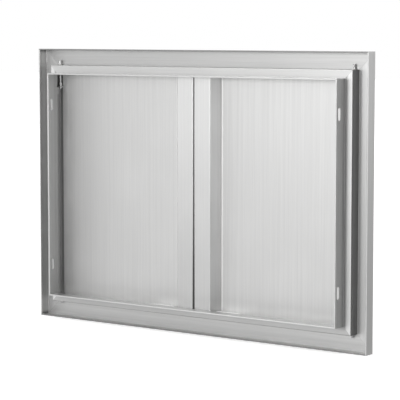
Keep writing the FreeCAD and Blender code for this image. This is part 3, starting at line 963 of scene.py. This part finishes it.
@dataclass
class FrameAssembly:
    """The fixed frame: mitred rails, pivot bushes, strike plates and bumpers."""

    bumper_radius: float = 4.0 * MM
    bumper_rounding: float = 0.9 * MM
    bumper_crown: float = 0.3 * MM

    def build(self, looks: dict[str, Material]) -> None:
        """Dress the frame and build its bumpers.

        Args:
            looks: Finished materials by name.
        """
        dress("frame_top_rail", looks["frame_top"])
        dress("frame_bottom_rail", looks["frame_foot"])
        for node in ("frame_left_stile", "frame_right_stile"):
            dress(node, looks["frame_upright"])
        for node in ("top_pivot_bushes", "bottom_pivot_bushes"):
            dress(node, looks["nylon"])
        dress("strike_plates", looks["plated"])
        self.build_bumpers(looks["rubber"])

    def build_bumpers(self, material: Material) -> None:
        """Mould the four crowned bumpers on the front of the stop.

        Args:
            material: The rubber.
        """
        low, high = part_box("stop_bumpers")
        height = high[1] - low[1]
        head = domed_head(self.bumper_radius, 0.0, height, self.bumper_rounding, self.bumper_crown)
        bumper = Turned([(0.0, 0.0)] + head)
        shape = bmesh.new()
        for x in (low[0] + self.bumper_radius, high[0] - self.bumper_radius):
            for z in (low[2] + self.bumper_radius, high[2] - self.bumper_radius):
                bumper.add(shape, Vector((x, high[1], z)), FORWARD)
        Fitting("moulded_bumpers", "stop_bumpers", "frame", "bumper_rubber").make(shape, material)


@dataclass
class Leaf:
    """One door leaf with its pivots, catch and handle."""

    side: Side
    cap_thickness: float = 3.0 * MM
    cap_plug: float = 7.0 * MM
    cap_seat: float = 1.25 * MM
    cap_rounding: float = 1.3 * MM
    cap_crown: float = 0.3 * MM
    spigot_radius: float = 2.2 * MM
    spigot_length: float = 9.0 * MM
    spigot_chamfer: float = 0.5 * MM
    shoulder_radius: float = 3.75 * MM
    shoulder_height: float = 1.9 * MM
    rivet_grip: float = 3.5 * MM
    rivet_radius: float = 3.5 * MM
    rivet_rounding: float = 0.6 * MM
    rivet_crown: float = 0.6 * MM
    screw_radius: float = 1.5 * MM
    screw_head_height: float = 1.4 * MM
    screw_rounding: float = 0.7 * MM
    screw_crown: float = 0.2 * MM
    set_screw_chamfer: float = 0.12 * MM
    socket_radius: float = 0.52 * MM
    socket_depth: float = 0.5 * MM

    def build(self, looks: dict[str, Material]) -> None:
        """Dress the leaf and build its small turned pieces.

        Args:
            looks: Finished materials by name.
        """
        finish_of = {
            "door_pan": "door_skin", "edge_stiffener": "stiffener", "hinge_bracket": "bracket",
            "pivot_doubler": "bracket", "top_pin": "pin", "pin_collar": "pin", "catch_body": "plastic",
            "catch_magnet": "ferrite", "catch_poles": "plated", "handle_bar": "handle",
            "handle_posts": "handle",
        }
        for piece, finish in finish_of.items():
            dress(self.node(piece), looks[finish])
        self.build_caps(looks["handle"])
        self.build_pivot(looks["pin"])
        self.build_catch_screws(looks["plated"])
        self.build_set_screw(looks["plated"])

    def node(self, piece: str) -> str:
        """Name of one of the leaf's nodes."""
        return f"{self.side.label}_{piece}"

    def fitting(self, name: str, node: str, slot: str) -> Fitting:
        """A fitting that rides on this leaf."""
        return Fitting(self.node(name), self.node(node), self.node("door"), slot)

    def build_caps(self, material: Material) -> None:
        """Turn the plugs that close both ends of the handle's tube.

        Args:
            material: The handle's steel.
        """
        low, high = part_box(self.node("handle_caps"))
        radius = min((high - low)[:2]) / 2
        plug = radius - self.cap_seat
        section = [(0.0, -self.cap_plug), (plug, -self.cap_plug), (plug, 0.0)]
        head = domed_head(radius, 0.0, self.cap_thickness, self.cap_rounding, self.cap_crown)
        cap = Turned(section + head)
        middle = (low + high) / 2
        reach = (high[2] - low[2]) / 2 - self.cap_thickness
        shape = bmesh.new()
        for direction in (UP, DOWN):
            cap.add(shape, middle + direction * reach, direction)
        self.fitting("domed_caps", "handle_caps", "handle_steel").make(shape, material)

    def build_pivot(self, material: Material) -> None:
        """Turn the riveted bottom pivot: spigot, shoulder, shank and domed rivet head.

        Args:
            material: The pin's steel.
        """
        low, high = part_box(self.node("bottom_pin"))
        ledge = self.spigot_length
        under = ledge + self.shoulder_height
        seat = under + self.rivet_grip
        radius = self.spigot_radius
        section = [(0.0, 0.0), (radius - self.spigot_chamfer, 0.0), (radius, self.spigot_chamfer),
                   (radius, ledge), (self.shoulder_radius, ledge), (self.shoulder_radius, under),
                   (radius, under), (radius, seat)]
        head = domed_head(self.rivet_radius, seat, high[2] - low[2], self.rivet_rounding, self.rivet_crown)
        middle = (low + high) / 2
        shape = bmesh.new()
        Turned(section + head).add(shape, Vector((middle[0], middle[1], low[2])), UP)
        self.fitting("riveted_pivot", "bottom_pin", "pin_steel").make(shape, material)

    def build_catch_screws(self, material: Material) -> None:
        """Make the cross-head screws that hold the catch to the bottom return.

        Args:
            material: The plated steel.
        """
        low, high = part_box(self.node("catch_screws"))
        radius = (high[1] - low[1]) / 2
        head = self.screw_head_height
        length = high[2] - low[2] - head
        section = [(0.0, -length), (self.screw_radius, -length), (self.screw_radius, 0.0)]
        screw = Turned(section + domed_head(radius, 0.0, head, self.screw_rounding, self.screw_crown))
        shape = bmesh.new()
        recesses = []
        for x in (low[0] + radius, high[0] - radius):
            face = Vector((x, (low[1] + high[1]) / 2, low[2]))
            screw.add(shape, face + UP * head, DOWN)
            recesses += CrossRecess().cutters(face, UP)
        self.fitting("cross_head_screws", "catch_screws", "fastener_steel").make(shape, material, recesses)

    def build_set_screw(self, material: Material) -> None:
        """Make the collar's set screw with its hexagon socket.

        Args:
            material: The plated steel.
        """
        low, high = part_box(self.node("collar_screw"))
        radius = (high[2] - low[2]) / 2
        length = high[0] - low[0]
        inward = Vector((-self.side.value, 0.0, 0.0))
        base = (low + high) / 2 - inward * length / 2
        floor = length - self.socket_depth
        section = [(0.0, 0.0), (radius, 0.0), (radius, length - self.set_screw_chamfer),
                   (radius - self.set_screw_chamfer, length), (0.0, length)]
        shape = bmesh.new()
        Turned(section).add(shape, base, inward)
        outside = length + floor
        hollow = [(0.0, floor), (self.socket_radius, floor), (self.socket_radius, outside), (0.0, outside)]
        socket = bmesh.new()
        Turned(hollow, sides=HEXAGON).add(socket, base, inward)
        self.fitting("socket_set_screw", "collar_screw", "fastener_steel").make(shape, material, [socket])


@dataclass(frozen=True)
class Lobe:
    """A soft patch of light in the studio round the door."""

    direction: tuple[float, float, float]
    width: float
    strength: float


@dataclass(frozen=True)
class Lamp:
    """A square soft lamp that faces the middle of the door."""

    name: str
    place: tuple[float, float, float]
    size: float
    power: float


@dataclass
class Studio:
    """White studio: floor, surrounding light, lamps and the camera."""

    floor_size: float = 30.0
    floor_dark: Colour = (0.84, 0.84, 0.84)
    floor_light: Colour = (0.86, 0.86, 0.86)
    floor_cloud: float = 0.8
    floor_fade: Band = (0.8, 2.4)
    floor_glow: Band = (0.45, 1.0)
    base_level: float = 0.45
    lobes: tuple[Lobe, ...] = (
        Lobe((0.0, 0.3, -1.0), 0.60, 0.58),
        Lobe((0.0, 1.0, 0.0), 0.25, 0.47),
        Lobe((-1.0, 0.0, 0.0), 0.35, 1.45),
        Lobe((1.0, 0.0, 0.0), 0.35, 1.30),
        Lobe((0.1, -1.0, 0.25), 0.45, 0.42),
    )
    lamps: tuple[Lamp, ...] = (
        Lamp("overhead", (0.2, 0.6, 2.6), 2.4, 41.0),
        Lamp("key", (-0.35, 3.0, 0.26), 0.35, 4.8),
        Lamp("fill", (0.4, 3.0, 0.5), 0.6, 13.0),
    )
    camera_place: tuple[float, float, float] = (-1.98372, 2.64698, 0.30419)
    camera_turn: float = 36.6004
    camera_tilt: float = 5.4757
    lens: float = 159.8146
    sensor: float = 36.0
    view_length: float = 100.0

    def build(self) -> None:
        """Make the floor, the surround, the lamps and the camera."""
        self.build_surround()
        self.build_floor()
        self.build_lamps()
        self.build_camera()
        bpy.context.scene.view_settings.view_transform = "Standard"

    def build_surround(self) -> None:
        """Light the scene from soft patches, and show plain white behind the door."""
        world = bpy.data.worlds.new("studio")
        bpy.context.scene.world = world
        world.use_nodes = True
        graph = Graph(world.node_tree)
        direction = graph.add("ShaderNodeTexCoord").outputs["Generated"]
        level = self.base_level
        for lobe in self.lobes:
            toward = Vector(lobe.direction).normalized()
            dot = graph.add("ShaderNodeVectorMath", {0: direction, 1: toward}, operation="DOT_PRODUCT")
            patch = graph.ramp(dot.outputs["Value"], 1.0 - lobe.width, 1.0, 0.0, lobe.strength)
            level = graph.math("ADD", level, patch)
        camera_ray = graph.add("ShaderNodeLightPath").outputs["Is Camera Ray"]
        strength = graph.blend(camera_ray, level, 1.0)
        background = graph.add("ShaderNodeBackground", {"Color": WHITE, "Strength": strength})
        graph.add("ShaderNodeOutputWorld", {"Surface": background.outputs[0]})

    def build_floor(self) -> None:
        """Lay a white floor under the door that keeps its shadow."""
        low = CAD_BOUNDS[0][2]
        mesh = bpy.data.meshes.new("floor")
        half = self.floor_size / 2
        mesh.from_pydata([(x * half, y * half, low) for x, y in SQUARE], [], [(0, 1, 2, 3)])
        floor = bpy.data.objects.new("floor", mesh)
        bpy.context.scene.collection.objects.link(floor)
        material, graph, place = begin_material("floor_white")
        cloud = graph.noise(place["Object"], detail=2.0, roughness=0.5, scale=self.floor_cloud)
        colour = tinted(graph, self.floor_dark, self.floor_light, cloud)
        away = graph.add("ShaderNodeVectorMath", {0: place["Object"]}, operation="LENGTH").outputs["Value"]
        strength = graph.ramp(away, *self.floor_fade, *self.floor_glow)
        lit = graph.add("ShaderNodeBsdfDiffuse", {"Color": colour}).outputs[0]
        glow = graph.add("ShaderNodeEmission", {"Color": WHITE, "Strength": strength}).outputs[0]
        both = graph.add("ShaderNodeAddShader", {0: lit, 1: glow}).outputs[0]
        clear = graph.add("ShaderNodeBsdfTransparent").outputs[0]
        path = graph.add("ShaderNodeLightPath").outputs
        seen = graph.add("ShaderNodeMixShader", {0: path["Is Camera Ray"], 1: lit, 2: both}).outputs[0]
        shown = graph.add("ShaderNodeMixShader", {0: path["Is Glossy Ray"], 1: seen, 2: clear}).outputs[0]
        graph.add("ShaderNodeOutputMaterial", {"Surface": shown})
        mesh.materials.append(material)

    def build_lamps(self) -> None:
        """Hang every lamp."""
        for lamp in self.lamps:
            data = bpy.data.lights.new(lamp.name, "AREA")
            data.size = lamp.size
            data.energy = lamp.power
            light = bpy.data.objects.new(lamp.name, data)
            light.location = lamp.place
            light.rotation_euler = (-Vector(lamp.place)).to_track_quat("-Z", "Y").to_euler()
            bpy.context.scene.collection.objects.link(light)
            LOG.info("hung lamp %s", lamp.name)

    def build_camera(self) -> None:
        """Set the camera at the photograph's viewing angle."""
        turn = math.radians(self.camera_turn)
        tilt = math.radians(self.camera_tilt)
        level = math.cos(tilt)
        forward = Vector((math.sin(turn) * level, -math.cos(turn) * level, -math.sin(tilt)))
        data = bpy.data.cameras.new("camera")
        data.lens = self.lens
        data.sensor_width = self.sensor
        data.clip_end = self.view_length
        camera = bpy.data.objects.new("camera", data)
        camera.location = self.camera_place
        camera.rotation_euler = forward.to_track_quat("-Z", "Y").to_euler()
        bpy.context.scene.collection.objects.link(camera)
        bpy.context.scene.camera = camera


def build_looks() -> dict[str, Material]:
    """Build every finish once.

    Returns:
        The materials, by the name of their field in Finishes.
    """
    groups = EffectGroups()
    finishes = Finishes()
    return {name: getattr(finishes, name).build(groups) for name in Finishes.__dataclass_fields__}


def main() -> None:
    """Dress the frame and both leaves, then set up the studio."""
    logging.basicConfig(level=logging.INFO, format="%(message)s")
    looks = build_looks()
    FrameAssembly().build(looks)
    for side in Side:
        Leaf(side).build(looks)
    Studio().build()


if __name__ == "__main__":
    main()
